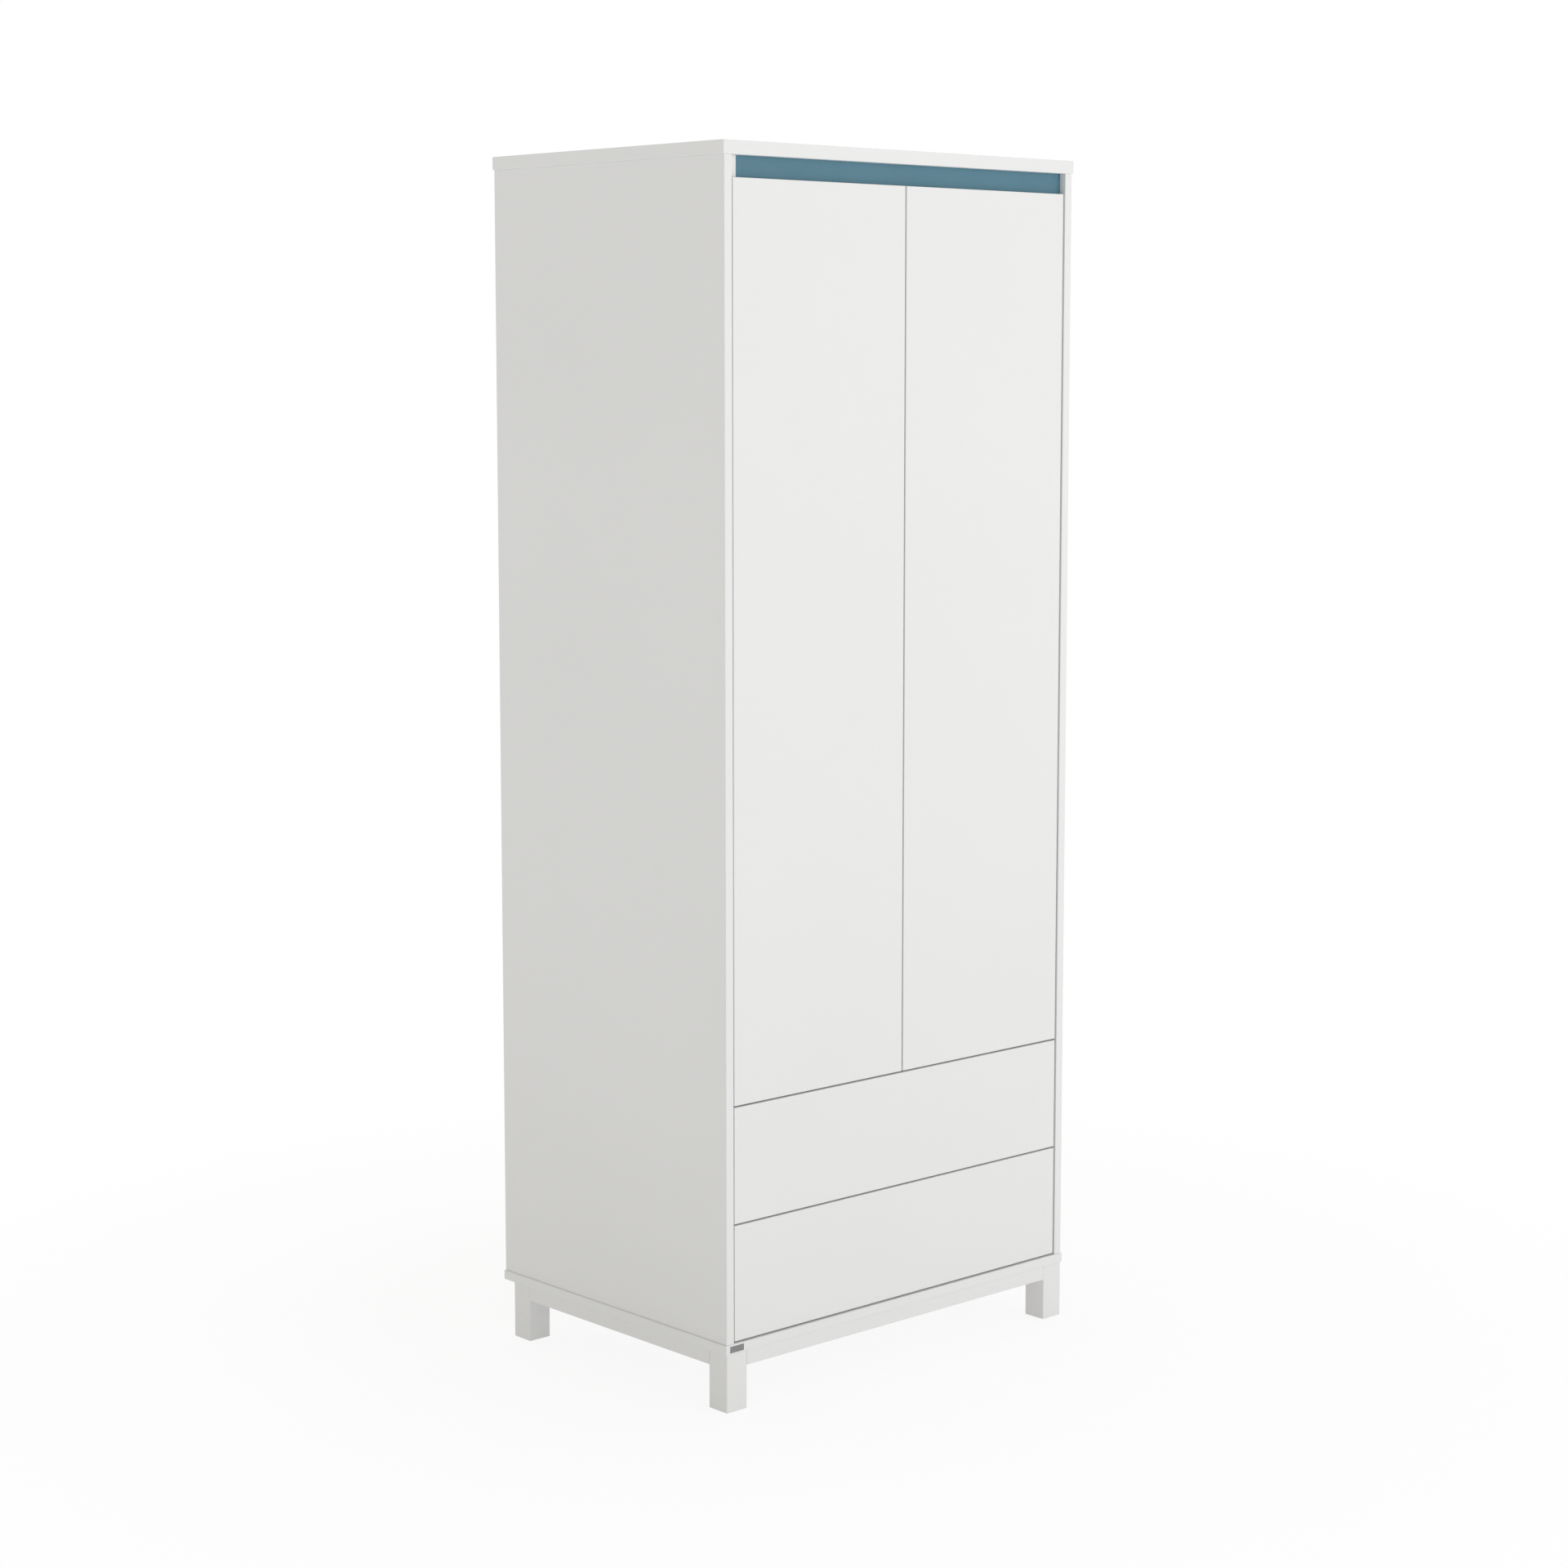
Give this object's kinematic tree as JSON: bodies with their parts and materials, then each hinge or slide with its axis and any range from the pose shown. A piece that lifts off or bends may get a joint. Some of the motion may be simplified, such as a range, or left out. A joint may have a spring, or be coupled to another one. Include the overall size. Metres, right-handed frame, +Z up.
{
  "type": "wardrobe",
  "caption": "White wardrobe with hinged doors above full-width drawers, a teal finger-grip strip under the top and a low base on square legs.",
  "frame": {"origin": "on the floor, under the middle of the top board", "axes": "+X to the right seen from the front, +Y to the back, +Z up; the doors face -Y"},
  "size_m": [0.805, 0.591, 2.05],
  "materials": {
    "white_board": "matte white melamine-faced board",
    "white_lacquer": "matte white lacquered solid wood",
    "teal_strip": "matte teal facing",
    "white_sheet": "thin white-faced fibreboard",
    "chrome_tube": "polished",
    "zinc_steel": "bright zinc plate",
    "grey_plate": "blank dark plate",
    "beech": "raw beech",
    "white_plastic": "moulded",
    "grey_plastic": "moulded",
    "clear_rubber": "soft translucent"
  },
  "bodies": {
    "cabinet": {"back_apron": "white_lacquer", "back_left_leg": "white_lacquer", "back_panel_strip": "white_plastic", "back_right_leg": "white_lacquer", "bottom_board": "white_board", "cabinet_runners": "zinc_steel", "cam_bolts": "zinc_steel", "cam_housings": "zinc_steel", "clothes_rail": "chrome_tube", "corner_block_screws": "zinc_steel", "corner_blocks": "beech", "drawer_deck": "white_board", "euro_screws": "zinc_steel", "front_apron": "white_lacquer", "front_left_leg": "white_lacquer", "front_right_leg": "white_lacquer", "grip_rail": "white_board", "grip_strip": "teal_strip", "hat_shelf": "white_board", "hinge_arms": "zinc_steel", "hinge_plates": "zinc_steel", "latch_housings": "white_plastic", "left_apron": "white_lacquer", "left_back_panel": "white_sheet", "left_side_panel": "white_board", "leg_glides": "white_plastic", "nameplate": "grey_plate", "panel_dowels": "beech", "rail_brackets": "white_plastic", "right_apron": "white_lacquer", "right_back_panel": "white_sheet", "right_side_panel": "white_board", "shelf_pins": "zinc_steel", "top_board": "white_board", "wall_bracket_screws": "zinc_steel", "wall_brackets": "zinc_steel"},
    "left_door": {"left_door_panel": "white_board", "left_hinge_cups": "zinc_steel", "left_door_bumpers": "clear_rubber"},
    "right_door": {"right_door_panel": "white_board", "right_hinge_cups": "zinc_steel", "right_door_bumpers": "clear_rubber"},
    "left_links": {"left_hinge_links": "zinc_steel"},
    "right_links": {"right_hinge_links": "zinc_steel"},
    "upper_middle": {"upper_middle_runners": "zinc_steel"},
    "lower_middle": {"lower_middle_runners": "zinc_steel"},
    "upper_plunger": {"upper_latch_plunger": "grey_plastic"},
    "lower_plunger": {"lower_latch_plunger": "grey_plastic"},
    "upper_drawer": {"upper_drawer_front": "white_board", "upper_drawer_left_side": "white_board", "upper_drawer_right_side": "white_board", "upper_drawer_back": "white_board", "upper_drawer_bottom": "white_sheet", "upper_drawer_runners": "zinc_steel"},
    "lower_drawer": {"lower_drawer_front": "white_board", "lower_drawer_left_side": "white_board", "lower_drawer_right_side": "white_board", "lower_drawer_back": "white_board", "lower_drawer_bottom": "white_sheet", "lower_drawer_runners": "zinc_steel"}
  },
  "joints": [
    {"name": "left_door_hinge", "type": "hinge", "parent": "cabinet", "child": "left_door", "pos_m": [-0.376, -0.2875, 1.252], "axis": [0, 0, -1], "range_deg": [0, 105]},
    {"name": "right_door_hinge", "type": "hinge", "parent": "cabinet", "child": "right_door", "pos_m": [0.376, -0.2875, 1.252], "axis": [0, 0, 1], "range_deg": [0, 105]},
    {"name": "left_link_pivot", "type": "hinge", "parent": "cabinet", "child": "left_links", "pos_m": [-0.344, -0.2725, 1.252], "axis": [0, 0, 1], "range_deg": [0, 36]},
    {"name": "right_link_pivot", "type": "hinge", "parent": "cabinet", "child": "right_links", "pos_m": [0.344, -0.2725, 1.252], "axis": [0, 0, -1], "range_deg": [0, 36]},
    {"name": "upper_drawer_slide", "type": "slide", "parent": "cabinet", "child": "upper_drawer", "axis": [0, -1, 0], "range_m": [0, 0.45]},
    {"name": "lower_drawer_slide", "type": "slide", "parent": "cabinet", "child": "lower_drawer", "axis": [0, -1, 0], "range_m": [0, 0.45]},
    {"name": "upper_middle_slide", "type": "slide", "parent": "cabinet", "child": "upper_middle", "axis": [0, -1, 0], "range_m": [0, 0.225]},
    {"name": "lower_middle_slide", "type": "slide", "parent": "cabinet", "child": "lower_middle", "axis": [0, -1, 0], "range_m": [0, 0.225]},
    {"name": "upper_plunger_push", "type": "slide", "parent": "cabinet", "child": "upper_plunger", "axis": [0, 1, 0], "range_m": [0, 0.003], "stiffness_N_per_m": 200},
    {"name": "lower_plunger_push", "type": "slide", "parent": "cabinet", "child": "lower_plunger", "axis": [0, 1, 0], "range_m": [0, 0.003], "stiffness_N_per_m": 200}
  ],
  "couplings": [
    {"joint": "left_link_pivot", "follows": "left_door_hinge", "ratio": 0.3428},
    {"joint": "right_link_pivot", "follows": "right_door_hinge", "ratio": 0.3428},
    {"joint": "upper_middle_slide", "follows": "upper_drawer_slide", "ratio": 0.5},
    {"joint": "lower_middle_slide", "follows": "lower_drawer_slide", "ratio": 0.5}
  ]
}
